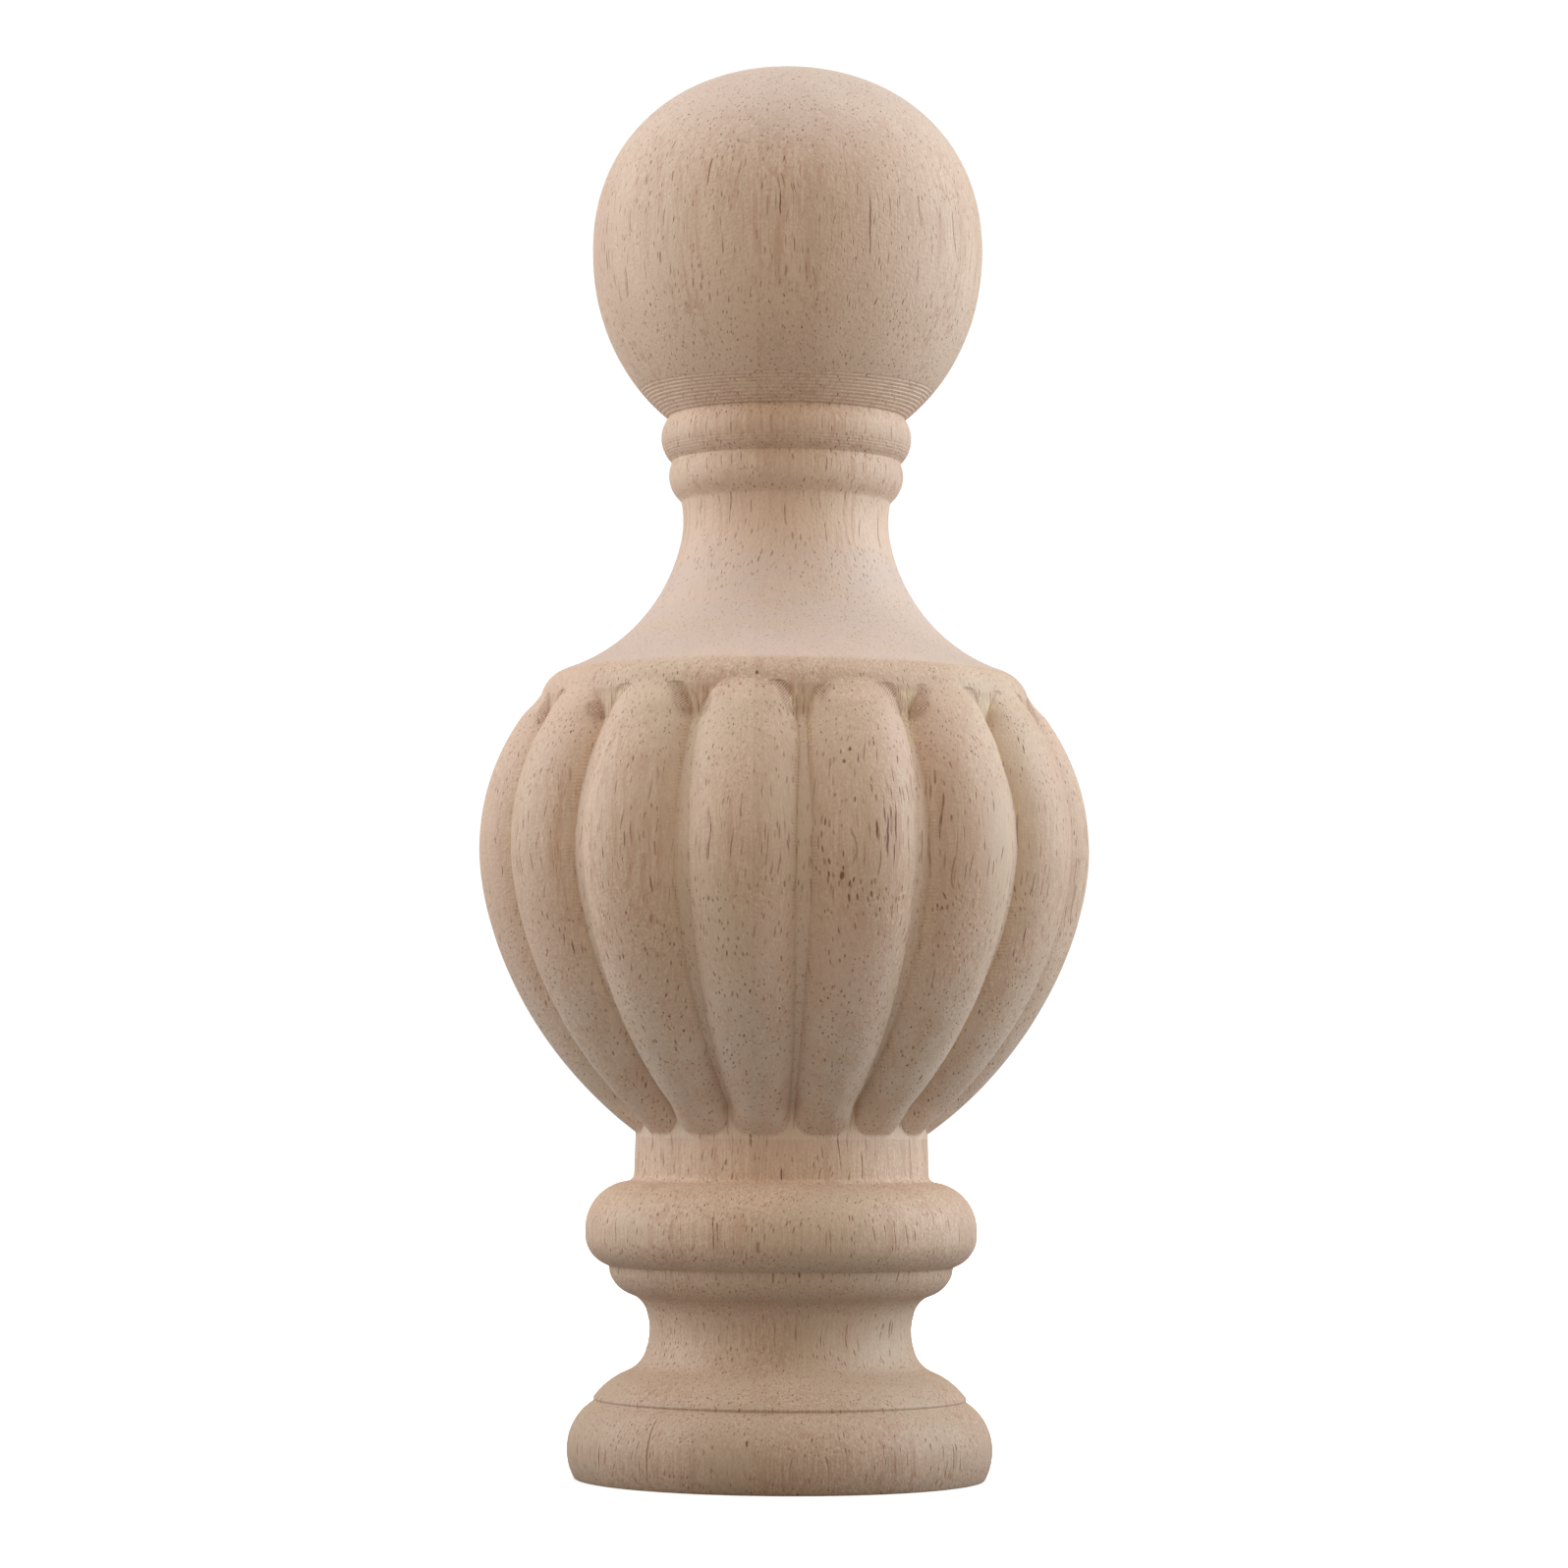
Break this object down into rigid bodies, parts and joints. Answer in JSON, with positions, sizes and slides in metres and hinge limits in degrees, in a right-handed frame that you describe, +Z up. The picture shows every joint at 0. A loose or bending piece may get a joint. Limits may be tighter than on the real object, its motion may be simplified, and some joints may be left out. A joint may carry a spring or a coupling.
{
  "type": "newel post finial",
  "caption": "Turned wooden post finial: a ball on a beaded collar and hollow neck, a bulb of carved lobes under a shoulder, and a moulded foot with a flat underside.",
  "frame": {"origin": "centre of the flat underside, on the axis that the piece was turned about", "axes": "+Z up the turning axis from the underside to the crown of the ball; -Y faces the viewer of the picture, with a valley between two lobes 4 degrees round from it"},
  "size_m": [0.0901, 0.0902, 0.2094],
  "materials": {
    "bare_wood": "raw rubberwood, turned and carved, unsanded and unfinished"
  },
  "bodies": {
    "root": {"finial": "bare_wood"}
  },
  "joints": []
}
